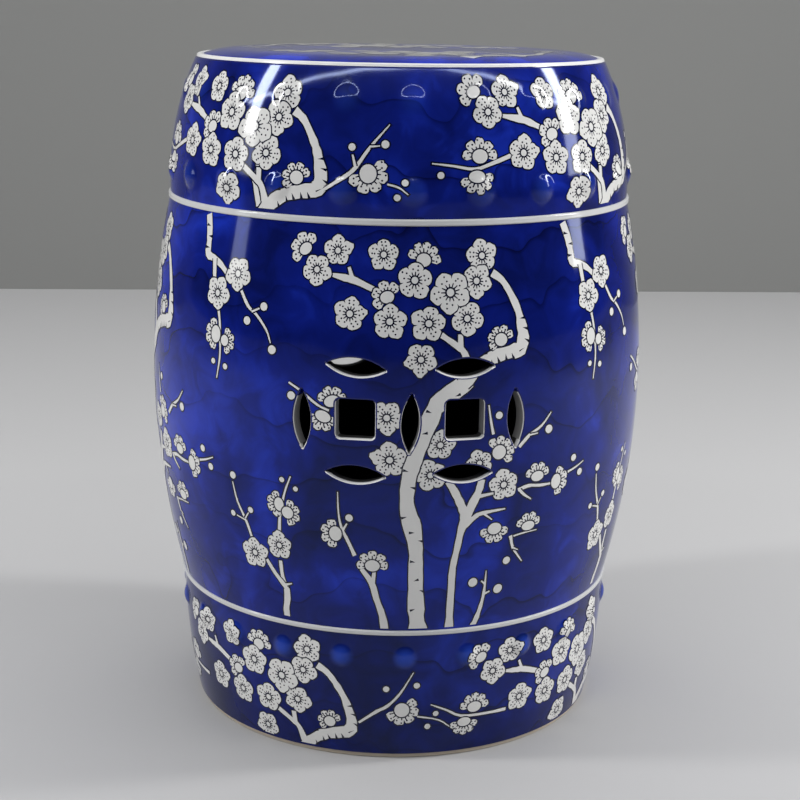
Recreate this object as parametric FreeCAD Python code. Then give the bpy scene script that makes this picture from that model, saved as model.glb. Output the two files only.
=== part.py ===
import FreeCAD, Part

import math
import os

# Ceramic garden stool: a hollow barrel, open below, pierced with a double coin on both sides.
# Millimetres, +Z up. The origin is on the floor at the centre of the foot.
# One double coin faces -Y, the front, and the other faces +Y.

Vector = FreeCAD.Vector

# Heights of the sections, each standing on the one before
FOOT_HEIGHT = 3.5
BASE_HEIGHT = 89.5
DRUM_HEIGHT = 267.0
SHOULDER_HEIGHT = 90.6
RIM_HEIGHT = 3.0
SEAT_RISE = 3.4

# Outer radii at the floor, at the two seams and at the edge of the seat
FOOT_RADIUS = 142.5
LOWER_SEAM_RADIUS = 152.4
UPPER_SEAM_RADIUS = 157.4
SEAT_EDGE_RADIUS = 137.9

# How far each outline bows out from the straight line between its ends
BASE_SWELL = 2.5
DRUM_SWELL = 16.2
SHOULDER_SWELL = 5.9

# Wall and edges
WALL = 10.0
FOOT_EDGE_RADIUS = 1.5
RIM_EDGE_RADIUS = 1.2

# Half-round coils that cover the two seams, each laid in a shallow turned bed
LOWER_RIB_WIDTH = 3.8
UPPER_RIB_WIDTH = 4.4
RIB_RISE = 1.6
RIB_BED_DEPTH = 1.0

# Seat slab and the gallery inside the shoulder that carries it
SEAT_THICKNESS = 12.0
SEAT_FLAT_RADIUS = 112.0
RIM_WIDTH = 3.9
SEAT_CLEARANCE = 0.3
LEDGE_WIDTH = 9.0
COVE_HEIGHT = 20.0
COVE_HOLLOW = 3.0

# Three rows of round studs, placed from the seam or edge beside them
STUD_COUNT = 23
STUD_RISE = 2.5
BASE_STUD_DIAMETER = 15.0
SHOULDER_STUD_DIAMETER = 17.0
CROWN_STUD_DIAMETER = 15.5
BASE_STUD_DROP = 16.0
SHOULDER_STUD_CLIMB = 19.0
CROWN_STUD_DROP = 21.6

# Double coin: a square hole in each coin, and pointed lenses half a pitch from its centre
COIN_CENTRE_CLIMB = 147.0
COIN_PITCH = 68.6
SQUARE_SIDE = 25.0
SQUARE_CORNER_RADIUS = 3.0
LENS_LENGTH = 38.0
LENS_WIDTH = 11.5

# Levels that follow from the heights
BASE_Z = FOOT_HEIGHT
LOWER_SEAM_Z = BASE_Z + BASE_HEIGHT
UPPER_SEAM_Z = LOWER_SEAM_Z + DRUM_HEIGHT
RIM_Z = UPPER_SEAM_Z + SHOULDER_HEIGHT
RIM_TOP_Z = RIM_Z + RIM_HEIGHT
SEAT_Z = RIM_TOP_Z + SEAT_RISE
LEDGE_Z = SEAT_Z - SEAT_THICKNESS


class Outline:
    """The outer line of a band: a circular arc that bows out between its two ends."""

    def __init__(self, low_radius, low_z, high_radius, high_z, swell):
        run = high_radius - low_radius
        climb = high_z - low_z
        chord = math.hypot(run, climb)
        self.bend_radius = chord ** 2 / (8 * swell) + swell / 2
        depth = self.bend_radius - swell
        self.centre_radius = (low_radius + high_radius) / 2 - depth * climb / chord
        self.centre_z = (low_z + high_z) / 2 + depth * run / chord

    def radius(self, z, inset=0.0):
        """Distance from the stool's axis at one height, on the line or inset from it."""
        bend = self.bend_radius - inset
        return self.centre_radius + math.sqrt(bend ** 2 - (z - self.centre_z) ** 2)

    def arc(self, from_z, to_z, inset=0.0):
        """Edge along the line between two heights, or inset from it by the wall."""
        middle_z = (from_z + to_z) / 2
        return arc(
            (self.radius(from_z, inset), from_z),
            (self.radius(middle_z, inset), middle_z),
            (self.radius(to_z, inset), to_z),
        )

    def normal(self, z):
        """Unit vector that points straight out of the wall at one height, in the XZ plane."""
        return Vector(self.radius(z) - self.centre_radius, 0, z - self.centre_z).normalize()


BASE_OUTLINE = Outline(FOOT_RADIUS, 0.0, LOWER_SEAM_RADIUS, LOWER_SEAM_Z, BASE_SWELL)
DRUM_OUTLINE = Outline(LOWER_SEAM_RADIUS, LOWER_SEAM_Z, UPPER_SEAM_RADIUS, UPPER_SEAM_Z, DRUM_SWELL)
SHOULDER_OUTLINE = Outline(
    UPPER_SEAM_RADIUS, UPPER_SEAM_Z, SEAT_EDGE_RADIUS, RIM_TOP_Z, SHOULDER_SWELL
)

LOWER_BED_RADIUS = LOWER_SEAM_RADIUS - RIB_BED_DEPTH
UPPER_BED_RADIUS = UPPER_SEAM_RADIUS - RIB_BED_DEPTH
GALLERY_RADIUS = SEAT_EDGE_RADIUS - RIM_WIDTH


def point(place):
    """A (radius, height) pair as a point in the XZ plane."""
    return Vector(place[0], 0, place[1])


def arc(start, middle, end):
    return Part.Arc(point(start), point(middle), point(end)).toShape()


def lines(*places):
    """Straight edges from each (radius, height) pair to the next."""
    return [Part.makeLine(point(a), point(b)) for a, b in zip(places, places[1:])]


def turned(edges):
    """Solid that a closed profile sweeps around the stool's axis."""
    profile = Part.Face(Part.Wire(edges))
    return profile.revolve(Vector(0, 0, 0), Vector(0, 0, 1), 360).Solids[0]


def foot_ring():
    """Unglazed ring that the stool stands on, its two lower edges rounded."""
    outer = BASE_OUTLINE.radius(FOOT_EDGE_RADIUS)
    inner = BASE_OUTLINE.radius(FOOT_EDGE_RADIUS, WALL)
    corner = FOOT_EDGE_RADIUS * (1 - math.sqrt(0.5))
    edges = [
        arc(
            (outer - FOOT_EDGE_RADIUS, 0),
            (outer - corner, corner),
            (outer, FOOT_EDGE_RADIUS),
        ),
        BASE_OUTLINE.arc(FOOT_EDGE_RADIUS, BASE_Z),
        *lines((BASE_OUTLINE.radius(BASE_Z), BASE_Z), (BASE_OUTLINE.radius(BASE_Z, WALL), BASE_Z)),
        BASE_OUTLINE.arc(BASE_Z, FOOT_EDGE_RADIUS, WALL),
        arc(
            (inner, FOOT_EDGE_RADIUS),
            (inner + corner, corner),
            (inner + FOOT_EDGE_RADIUS, 0),
        ),
        *lines((inner + FOOT_EDGE_RADIUS, 0), (outer - FOOT_EDGE_RADIUS, 0)),
    ]
    return turned(edges)


def base_band():
    """Lowest wall section, with the lower half of the lower rib's bed round its top."""
    bed_z = LOWER_SEAM_Z - LOWER_RIB_WIDTH / 2
    edges = [
        BASE_OUTLINE.arc(BASE_Z, bed_z),
        *lines(
            (BASE_OUTLINE.radius(bed_z), bed_z),
            (LOWER_BED_RADIUS, bed_z),
            (LOWER_BED_RADIUS, LOWER_SEAM_Z),
            (BASE_OUTLINE.radius(LOWER_SEAM_Z, WALL), LOWER_SEAM_Z),
        ),
        BASE_OUTLINE.arc(LOWER_SEAM_Z, BASE_Z, WALL),
        *lines((BASE_OUTLINE.radius(BASE_Z, WALL), BASE_Z), (BASE_OUTLINE.radius(BASE_Z), BASE_Z)),
    ]
    return turned(edges)


def rib(seam_z, width, bed_radius, crest_radius, below, above):
    """Half-round coil in its bed: outlines below and above give the wall it meets."""
    low_z = seam_z - width / 2
    high_z = seam_z + width / 2
    low = (below.radius(low_z), low_z)
    high = (above.radius(high_z), high_z)
    edges = [
        arc(low, (crest_radius, seam_z), high),
        *lines(high, (bed_radius, high_z), (bed_radius, low_z), low),
    ]
    return turned(edges)


def drum_blank():
    """Belly section before it is pierced, with half a rib's bed at each end."""
    low_bed_z = LOWER_SEAM_Z + LOWER_RIB_WIDTH / 2
    high_bed_z = UPPER_SEAM_Z - UPPER_RIB_WIDTH / 2
    edges = [
        *lines(
            (DRUM_OUTLINE.radius(LOWER_SEAM_Z, WALL), LOWER_SEAM_Z),
            (LOWER_BED_RADIUS, LOWER_SEAM_Z),
            (LOWER_BED_RADIUS, low_bed_z),
            (DRUM_OUTLINE.radius(low_bed_z), low_bed_z),
        ),
        DRUM_OUTLINE.arc(low_bed_z, high_bed_z),
        *lines(
            (DRUM_OUTLINE.radius(high_bed_z), high_bed_z),
            (UPPER_BED_RADIUS, high_bed_z),
            (UPPER_BED_RADIUS, UPPER_SEAM_Z),
            (DRUM_OUTLINE.radius(UPPER_SEAM_Z, WALL), UPPER_SEAM_Z),
        ),
        DRUM_OUTLINE.arc(UPPER_SEAM_Z, LOWER_SEAM_Z, WALL),
    ]
    return turned(edges)


def square_cutter(depth):
    """Bar with rounded corners, from the axis towards -Y."""
    half = SQUARE_SIDE / 2
    bar = Part.makeBox(SQUARE_SIDE, depth, SQUARE_SIDE, Vector(-half, -depth, -half))
    long_edges = [edge for edge in bar.Edges if abs(edge.tangentAt(edge.FirstParameter).y) > 0.5]
    return bar.makeFillet(SQUARE_CORNER_RADIUS, long_edges)


def lens_cutter(depth, upright):
    """Bar of pointed oval section, from the axis towards -Y."""
    tip = LENS_LENGTH / 2
    bulge = LENS_WIDTH / 2
    outline = Part.Wire([
        arc((-tip, 0), (0, bulge), (tip, 0)),
        arc((tip, 0), (0, -bulge), (-tip, 0)),
    ])
    bar = Part.Face(outline).extrude(Vector(0, -depth, 0))
    if upright:
        bar.rotate(Vector(0, 0, 0), Vector(0, 1, 0), 90)
    return bar


def double_coin_cutters():
    """Cutters of the two squares and seven lenses, each pointing out at its own angle."""
    centre_z = LOWER_SEAM_Z + COIN_CENTRE_CLIMB
    wall_radius = DRUM_OUTLINE.radius(centre_z)
    depth = wall_radius + WALL
    reach = COIN_PITCH / 2
    coin_angle = math.degrees(reach / wall_radius)
    placed = []
    for side in (-1, 1):
        placed.append((square_cutter(depth), side * coin_angle, centre_z))
        placed.append((lens_cutter(depth, False), side * coin_angle, centre_z + reach))
        placed.append((lens_cutter(depth, False), side * coin_angle, centre_z - reach))
    for step in (-2, 0, 2):
        placed.append((lens_cutter(depth, True), step * coin_angle, centre_z))
    for cutter, angle, z in placed:
        cutter.rotate(Vector(0, 0, 0), Vector(0, 0, 1), angle)
        cutter.translate(Vector(0, 0, z))
    return [cutter for cutter, angle, z in placed]


def drum_wall():
    """Belly section, pierced through its front and its back."""
    front = double_coin_cutters()
    back = [cutter.rotated(Vector(0, 0, 0), Vector(0, 0, 1), 180) for cutter in front]
    return drum_blank().cut(front + back).Solids[0]


def shoulder_band():
    """Top wall section, thickened inside under a ledge that the seat slab lies on."""
    bed_z = UPPER_SEAM_Z + UPPER_RIB_WIDTH / 2
    cove_z = LEDGE_Z - COVE_HEIGHT
    cove_radius = SHOULDER_OUTLINE.radius(cove_z, WALL)
    ledge_radius = GALLERY_RADIUS - LEDGE_WIDTH
    cove_middle = (
        (cove_radius + ledge_radius + COVE_HOLLOW) / 2,
        (cove_z + LEDGE_Z + COVE_HOLLOW) / 2,
    )
    edges = [
        *lines(
            (SHOULDER_OUTLINE.radius(UPPER_SEAM_Z, WALL), UPPER_SEAM_Z),
            (UPPER_BED_RADIUS, UPPER_SEAM_Z),
            (UPPER_BED_RADIUS, bed_z),
            (SHOULDER_OUTLINE.radius(bed_z), bed_z),
        ),
        SHOULDER_OUTLINE.arc(bed_z, RIM_Z),
        *lines(
            (SHOULDER_OUTLINE.radius(RIM_Z), RIM_Z),
            (GALLERY_RADIUS, RIM_Z),
            (GALLERY_RADIUS, LEDGE_Z),
            (ledge_radius, LEDGE_Z),
        ),
        arc((ledge_radius, LEDGE_Z), cove_middle, (cove_radius, cove_z)),
        SHOULDER_OUTLINE.arc(cove_z, UPPER_SEAM_Z, WALL),
    ]
    return turned(edges)


def seat_rim():
    """Coil round the edge of the seat, its outer corner rounded over."""
    shoulder_z = RIM_TOP_Z - RIM_EDGE_RADIUS
    outer = SHOULDER_OUTLINE.radius(shoulder_z)
    corner = RIM_EDGE_RADIUS * (1 - math.sqrt(0.5))
    edges = [
        SHOULDER_OUTLINE.arc(RIM_Z, shoulder_z),
        arc(
            (outer, shoulder_z),
            (outer - corner, RIM_TOP_Z - corner),
            (outer - RIM_EDGE_RADIUS, RIM_TOP_Z),
        ),
        *lines(
            (outer - RIM_EDGE_RADIUS, RIM_TOP_Z),
            (GALLERY_RADIUS, RIM_TOP_Z),
            (GALLERY_RADIUS, RIM_Z),
            (SHOULDER_OUTLINE.radius(RIM_Z), RIM_Z),
        ),
    ]
    return turned(edges)


def seat_slab():
    """Seat disc, flat in the middle and rounded down to the rim."""
    edge_radius = GALLERY_RADIUS - SEAT_CLEARANCE
    run = edge_radius - SEAT_FLAT_RADIUS
    bend_radius = (run ** 2 + SEAT_RISE ** 2) / (2 * SEAT_RISE)
    middle_run = run / 2
    middle_drop = bend_radius - math.sqrt(bend_radius ** 2 - middle_run ** 2)
    edges = [
        *lines((0, SEAT_Z), (0, LEDGE_Z), (edge_radius, LEDGE_Z), (edge_radius, RIM_TOP_Z)),
        arc(
            (edge_radius, RIM_TOP_Z),
            (SEAT_FLAT_RADIUS + middle_run, SEAT_Z - middle_drop),
            (SEAT_FLAT_RADIUS, SEAT_Z),
        ),
        *lines((SEAT_FLAT_RADIUS, SEAT_Z), (0, SEAT_Z)),
    ]
    return turned(edges)


def stud_row(outline, stud_z, diameter):
    """Ring of round caps, one facing the front, each hollowed behind to lie on the wall."""
    ball_radius = (diameter ** 2 / 4 + STUD_RISE ** 2) / (2 * STUD_RISE)
    hollow_radius = max(outline.bend_radius, outline.radius(stud_z))
    out = outline.normal(stud_z)
    surface = point((outline.radius(stud_z), stud_z))
    ball = Part.makeSphere(ball_radius, surface - out * (ball_radius - STUD_RISE), out)
    hollow = Part.makeSphere(hollow_radius, surface - out * hollow_radius, out)
    stud = ball.cut(hollow).Solids[0]
    to_front = -90
    studs = []
    for number in range(STUD_COUNT):
        angle = to_front + number * 360 / STUD_COUNT
        studs.append(stud.rotated(Vector(0, 0, 0), Vector(0, 0, 1), angle))
    return Part.makeCompound(studs)


pieces = {
    "foot_ring": foot_ring(),
    "base_band": base_band(),
    "lower_rib": rib(
        LOWER_SEAM_Z, LOWER_RIB_WIDTH, LOWER_BED_RADIUS,
        LOWER_SEAM_RADIUS + RIB_RISE, BASE_OUTLINE, DRUM_OUTLINE,
    ),
    "drum_wall": drum_wall(),
    "upper_rib": rib(
        UPPER_SEAM_Z, UPPER_RIB_WIDTH, UPPER_BED_RADIUS,
        UPPER_SEAM_RADIUS + RIB_RISE, DRUM_OUTLINE, SHOULDER_OUTLINE,
    ),
    "shoulder_band": shoulder_band(),
    "seat_rim": seat_rim(),
    "seat_slab": seat_slab(),
    "base_studs": stud_row(
        BASE_OUTLINE, LOWER_SEAM_Z - BASE_STUD_DROP, BASE_STUD_DIAMETER,
    ),
    "shoulder_studs": stud_row(
        SHOULDER_OUTLINE, UPPER_SEAM_Z + SHOULDER_STUD_CLIMB, SHOULDER_STUD_DIAMETER,
    ),
    "crown_studs": stud_row(
        SHOULDER_OUTLINE, RIM_TOP_Z - CROWN_STUD_DROP, CROWN_STUD_DIAMETER,
    ),
}

os.makedirs("parts", exist_ok=True)
for name, shape in pieces.items():
    shape.exportStep("parts/" + name + ".step")
    low_z = round(shape.BoundBox.ZMin, 2)
    high_z = round(shape.BoundBox.ZMax, 2)
    print(name, len(shape.Solids), "solids, valid", shape.isValid(), "from z", low_z, "to", high_z)
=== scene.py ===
import math
import random

import bpy
import numpy as np
from mathutils import Matrix, Vector
from mathutils.geometry import delaunay_2d_cdt


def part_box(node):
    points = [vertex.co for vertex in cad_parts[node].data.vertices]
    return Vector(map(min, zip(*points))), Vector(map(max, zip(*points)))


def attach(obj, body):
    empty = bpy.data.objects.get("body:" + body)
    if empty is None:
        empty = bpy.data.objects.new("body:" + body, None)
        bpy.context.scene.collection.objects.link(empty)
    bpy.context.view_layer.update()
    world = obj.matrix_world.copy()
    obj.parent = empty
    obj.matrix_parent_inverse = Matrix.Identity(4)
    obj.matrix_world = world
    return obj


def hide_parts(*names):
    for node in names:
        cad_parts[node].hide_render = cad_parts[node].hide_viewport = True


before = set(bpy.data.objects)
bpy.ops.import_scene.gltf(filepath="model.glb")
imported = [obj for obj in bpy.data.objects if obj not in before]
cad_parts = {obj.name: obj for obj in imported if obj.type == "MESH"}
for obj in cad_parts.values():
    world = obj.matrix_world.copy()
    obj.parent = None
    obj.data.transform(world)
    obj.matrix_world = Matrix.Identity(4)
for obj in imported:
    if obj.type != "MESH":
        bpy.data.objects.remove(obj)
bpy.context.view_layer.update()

# Ceramic garden stool with white plum blossom on cobalt blue.
# Sizes are millimetres unless a name says otherwise. Angles round the stool are degrees from
# the front, -Y, and grow towards +X.
MM = 0.001

# Levels, from the frame
FOOT_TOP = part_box("foot_ring")[1].z / MM
LOWER_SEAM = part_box("drum_wall")[0].z / MM
UPPER_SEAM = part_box("drum_wall")[1].z / MM
RIM_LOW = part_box("seat_rim")[0].z / MM
RIM_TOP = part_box("seat_rim")[1].z / MM
SEAT_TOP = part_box("seat_slab")[1].z / MM
SEAT_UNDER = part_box("seat_slab")[0].z / MM

# Outline radii, and how far each outline bows out from the straight line between its ends
FOOT_RADIUS = 142.5
LOWER_SEAM_RADIUS = 152.4
UPPER_SEAM_RADIUS = 157.4
SEAT_EDGE_RADIUS = 137.9
BASE_SWELL = 2.5
DRUM_SWELL = 16.2
SHOULDER_SWELL = 5.9
WALL = 10.0
EDGE_ROUND = 1.1

# Ribs, seat and studs
RIB_RISE = 1.5
LOWER_RIB_WIDTH = 3.8
UPPER_RIB_WIDTH = 4.4
SEAT_FLAT_RADIUS = 112.0
SLAB_RADIUS = 134.0
STUD_COUNT = 23
STUD_FOOT_FILLET = 0.5
# Height, radius and rise of each row
BASE_STUDS = [(LOWER_SEAM - 17.8, 7.6, 2.4)]
SHOULDER_STUDS = [(UPPER_SEAM + 19.0, 8.5, 2.4), (RIM_TOP - 21.6, 7.75, 1.5)]

# Pierced double coin
COIN_HEIGHT = LOWER_SEAM + 147.0
COIN_REACH = 34.3
COIN_ANGLE = 11.48
COIN_SCALE = COIN_REACH / COIN_ANGLE
SQUARE_SIDE = 25.0
SQUARE_ROUND = 3.0
LENS_LENGTH = 38.0
LENS_WIDTH = 11.5
LENS_ROUND = 0.8

# Meshes: columns round the stool, and the part of the drum that the coins are cut into
SKIN_COLUMNS = 288
BAND_COLUMNS = 360
WINDOW_COLUMNS = 26
WINDOW_HEIGHT = 96
STUD_REACH = 9.5

# Decor: how far it stands off the glaze, and flat millimetres for one degree round the stool
LINE_WIDTH = 0.9
DECOR_LIFT = 0.07
DECOR_LIFT_ON_STUD = 0.16
DRUM_SCALE = 2.95
BAND_SCALE = 2.65
# Where the four copies of the decor on each band begin, as they were laid by hand
SHOULDER_TURNS = (0, 88.8, 179, 270)
BASE_TURNS = (0, 87.4, 178, 269)

# CAD nodes that a studded band stands for
BASE_NODES = ["base_band", "base_studs"]
SHOULDER_NODES = ["shoulder_band", "shoulder_studs", "crown_studs"]


class Outline:
    """The outer line of a band: a circular arc that bows out between its two ends."""

    def __init__(self, low_radius, low_z, high_radius, high_z, swell, studs=()):
        self.studs = studs
        run = high_radius - low_radius
        climb = high_z - low_z
        chord = math.hypot(run, climb)
        self.bend_radius = chord ** 2 / (8 * swell) + swell / 2
        depth = self.bend_radius - swell
        self.centre_radius = (low_radius + high_radius) / 2 - depth * climb / chord
        self.centre_z = (low_z + high_z) / 2 + depth * run / chord

    def radius(self, z, inset=0.0):
        bend = self.bend_radius - inset
        return self.centre_radius + np.sqrt(bend ** 2 - (z - self.centre_z) ** 2)

    def normal(self, z):
        """Radial and upward part of the unit vector that points out of the wall."""
        rise = (z - self.centre_z) / self.bend_radius
        return np.sqrt(1 - rise ** 2), rise


BASE = Outline(FOOT_RADIUS, 0.0, LOWER_SEAM_RADIUS, LOWER_SEAM, BASE_SWELL, BASE_STUDS)
DRUM = Outline(LOWER_SEAM_RADIUS, LOWER_SEAM, UPPER_SEAM_RADIUS, UPPER_SEAM, DRUM_SWELL)
SHOULDER = Outline(
    UPPER_SEAM_RADIUS, UPPER_SEAM, SEAT_EDGE_RADIUS, RIM_TOP, SHOULDER_SWELL, SHOULDER_STUDS,
)


def stud_height(outline, angle, z):
    """How far the studs raise the wall at places on one band."""
    height = np.zeros(np.broadcast(angle, z).shape)
    pitch = 360 / STUD_COUNT
    for row_z, foot, rise in outline.studs:
        ball = (foot ** 2 + rise ** 2) / (2 * rise)
        off_angle = angle - np.round(angle / pitch) * pitch
        across = np.radians(off_angle) * outline.radius(row_z)
        along = (z - row_z) / outline.normal(row_z)[0]
        distance_2 = across ** 2 + along ** 2
        cap = np.sqrt(np.maximum(ball ** 2 - distance_2, 0)) - (ball - rise)
        height += STUD_FOOT_FILLET * np.log1p(np.exp(cap / STUD_FOOT_FILLET))
    return height


def round_axis(radius, angle, z):
    """Points at a radius, an angle in degrees from the front and a height."""
    turn = np.radians(angle)
    return np.stack([radius * np.sin(turn), -radius * np.cos(turn), z], axis=-1)


def wall_points(outline, angle, z, lift=0.0):
    """Points on a band's outer surface, lifted along its normal."""
    out, rise = outline.normal(z)
    raised = lift + stud_height(outline, angle, z)
    return round_axis(outline.radius(z) + out * raised, angle, z + rise * raised)


def wall_normals(outline, angle, z):
    """Unit normals of a band's outer surface, from its slopes."""
    left, right, low, high = (
        wall_points(outline, angle + around, z + up)
        for around, up in ((-0.05, 0), (0.05, 0), (0, -0.1), (0, 0.1))
    )
    normal = np.cross(right - left, high - low)
    return normal / np.linalg.norm(normal, axis=-1, keepdims=True)


def placed(name, data):
    """A new object in the scene."""
    item = bpy.data.objects.new(name, data)
    bpy.context.collection.objects.link(item)
    return item


def new_mesh(name, points, faces, materials):
    mesh = bpy.data.meshes.new(name)
    mesh.from_pydata(points, [], faces)
    for material in materials:
        mesh.materials.append(material)
    return placed(name, mesh)


def make_piece(name, points, faces, materials, replaces, normals=None, slots=None):
    """A mesh that rides on the stool and stands for some of its CAD nodes."""
    piece = new_mesh(name, (points * MM).tolist(), faces, materials)
    mesh = piece.data
    if slots:
        mesh.polygons.foreach_set("material_index", slots)
    mesh.polygons.foreach_set("use_smooth", [True] * len(faces))
    if normals is not None:
        mesh.normals_split_custom_set_from_vertices(normals.tolist())
    mesh.update()
    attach(piece, "root")
    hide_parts(*replaces)
    return piece


def grid_faces(rows, columns):
    """Quads of a sheet of rows by columns of points that closes on itself sideways."""
    faces = []
    for row in range(rows - 1):
        low = row * columns
        high = low + columns
        for column in range(columns):
            beside = (column + 1) % columns
            faces.append((low + column, low + beside, high + beside, high + column))
    return faces


def lathe(profile, columns):
    """Points and quads of a profile of (radius, z) pairs turned round the axis."""
    angle = np.linspace(0, 360, columns, endpoint=False)
    rings = [round_axis(radius, angle, np.full(columns, z)) for radius, z in profile]
    return np.concatenate(rings), grid_faces(len(profile), columns)


def joined(parts):
    """One list of points and of faces from several (points, faces) parts."""
    points = []
    faces = []
    count = 0
    for part_points, part_faces in parts:
        points.append(part_points)
        faces.extend(tuple(index + count for index in face) for face in part_faces)
        count += len(part_points)
    return np.concatenate(points), faces


# Materials

GLAZE_SHINE = 0.42
GLAZE_WAVES = (13.0, 0.22, 0.003)
# Painted highlight: the paler blue that the studs' crests are painted, for the light they catch.
STUD_CREST_HIGHLIGHT = (0.020, 0.060, 0.420, 1)


class Shading:
    """A node tree to add to. A value that is a socket is linked, and any other is set."""

    def __init__(self, tree):
        self.tree = tree

    def fill(self, node, values):
        for name, value in values.items():
            if isinstance(value, bpy.types.NodeSocket):
                self.tree.links.new(value, node.inputs[name])
            else:
                node.inputs[name].default_value = value

    def add(self, kind, values, **settings):
        node = self.tree.nodes.new("ShaderNode" + kind)
        for name, value in settings.items():
            setattr(node, name, value)
        self.fill(node, values)
        return node

    def place(self, output="Object"):
        """Where on the object a point is, in metres."""
        return self.add("TexCoord", {}).outputs[output]

    def noise(self, scale, detail, distortion=0.0):
        values = {"Scale": scale, "Detail": detail, "Distortion": distortion}
        return self.add("TexNoise", {"Vector": self.place(), **values}).outputs["Fac"]

    def mix(self, factor, first, second, **settings):
        values = {"Factor": factor, "A": first, "B": second}
        return self.add("Mix", values, data_type="RGBA", **settings).outputs["Result"]

    def ramp(self, source, stops):
        """A colour ramp of (place, colour) stops, where a plain number is a grey."""
        node = self.add("ValToRGB", {"Fac": source})
        elements = node.color_ramp.elements
        while len(elements) < len(stops):
            elements.new(0.5)
        for element, (place, colour) in zip(elements, stops):
            element.position = place
            element.color = (*np.broadcast_to(colour, 3), 1)
        return node.outputs["Color"]


def new_material(name):
    material = bpy.data.materials.new(name)
    material.use_nodes = True
    tree = material.node_tree
    return material, Shading(tree), tree.nodes["Principled BSDF"]


def surface(tree, shader, colour, shine, waves):
    """Colour, roughness as (scale, low, high) and small waves as (scale, strength, depth)."""
    scale, low, high = shine
    rough = tree.add("MapRange", {"Value": tree.noise(scale, 3.0), "To Min": low, "To Max": high})
    scale, strength, depth = waves
    height = tree.noise(scale, 2.0)
    bump = tree.add("Bump", {"Strength": strength, "Distance": depth, "Height": height})
    tree.fill(shader, {
        "Base Color": colour,
        "Roughness": rough.outputs["Result"],
        "Normal": bump.outputs["Normal"],
    })


def brush_lines(tree):
    """Wavy lines where one stroke of cobalt ended on another."""
    values = {"Scale": 8.0, "Distortion": 7.5, "Detail": 2.0, "Detail Scale": 2.2}
    values["Vector"] = tree.place()
    strokes = tree.add("TexWave", values, bands_direction="Z", wave_profile="SAW")
    return tree.ramp(strokes.outputs["Fac"], [
        (0.0, (0.80, 0.80, 0.82)),
        (0.03, 1.0),
        (0.60, 1.0),
        (0.92, (0.78, 0.78, 0.81)),
        (1.0, (0.22, 0.22, 0.28)),
    ])


def blue_glaze(name, light):
    """Cobalt brushed on in soft patches, under a clear glaze. light is painted light that scales
    the colour: 1 on the drum, above 1 to paint the seat lighter and below 1 to paint the base in
    shade.
    """
    material, tree, shader = new_material(name)
    values = {"Factor": 0.3, "A": tree.noise(11.0, 2.0, 0.8), "B": tree.noise(38.0, 3.0, 1.5)}
    patches = tree.add("Mix", values).outputs["Result"]
    shades = tree.ramp(patches, [
        (place, [light * part for part in colour])
        for place, colour in (
            (0.34, (0.0018, 0.0050, 0.080)),
            (0.52, (0.0036, 0.0110, 0.190)),
            (0.68, (0.0095, 0.0310, 0.430)),
        )
    ])
    faint = tree.ramp(tree.noise(9.0, 1.0), [(0.38, 0.40), (0.60, 1.0)])
    brushed = tree.mix(faint, shades, brush_lines(tree), blend_type="MULTIPLY")
    # Painted highlight: the studs' crests are mixed towards a paler blue by a mask that the band
    # walls keep on their points.
    rise = tree.add("Attribute", {}, attribute_name="stud_crest_highlight").outputs["Fac"]
    colour = tree.mix(rise, brushed, STUD_CREST_HIGHLIGHT)
    surface(tree, shader, colour, (30.0, 0.05, 0.10), GLAZE_WAVES)
    tree.fill(shader, {"Specular IOR Level": GLAZE_SHINE, "Specular Tint": (0.55, 0.66, 1.0, 1)})
    return material


def plain_glaze(name, colour, low=0.05, high=0.10):
    """One glaze colour with an uneven shine."""
    material, tree, shader = new_material(name)
    surface(tree, shader, (*colour, 1), (40.0, low, high), GLAZE_WAVES)
    tree.fill(shader, {"Specular IOR Level": GLAZE_SHINE})
    return material


def bare_clay(name, colour):
    """Fired clay without glaze."""
    material, tree, shader = new_material(name)
    surface(tree, shader, (*colour, 1), (120.0, 0.75, 0.95), (900.0, 0.3, 0.0004))
    return material


BLUE = blue_glaze("blue_glaze", 1.0)
# Lit and shaded copies of one glaze: the seat is painted lighter for the light from above, and the
# base is painted darker for the shade that falls on it.
SEAT_BLUE_LIT = blue_glaze("seat_blue_glaze_lit", 1.7)
BASE_BLUE_SHADED = blue_glaze("base_blue_glaze_shaded", 0.6)
WHITE = plain_glaze("white_glaze", (0.74, 0.73, 0.70))
NAVY = plain_glaze("line_blue", (0.0020, 0.0035, 0.022))
EDGE_BLUE = plain_glaze("edge_blue", (0.0035, 0.0085, 0.120))
RIB_WHITE = plain_glaze("rib_white", (0.62, 0.62, 0.61))
RIM_WHITE = plain_glaze("rim_white", (0.82, 0.81, 0.79), 0.12, 0.25)
HOLE_WALL = bare_clay("hole_wall", (0.25, 0.245, 0.24))
# Painted shade: the inside of the body is coloured nearly black for the shade within it.
INNER_SHADE = bare_clay("inner_clay_shade", (0.035, 0.034, 0.033))
FOOT = bare_clay("foot_clay", (0.56, 0.48, 0.38))


# Body


def fine_steps(low, high, coarse, fine, rows, reach):
    """Heights from low to high: coarse steps, and fine ones within reach of the rows."""
    steps = [low]
    while steps[-1] < high - 0.3 * fine:
        here = steps[-1]
        near = any(row - reach - coarse < here < row + reach for row in rows)
        steps.append(here + (fine if near else coarse))
    steps[-1] = high
    return np.array(steps)


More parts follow.
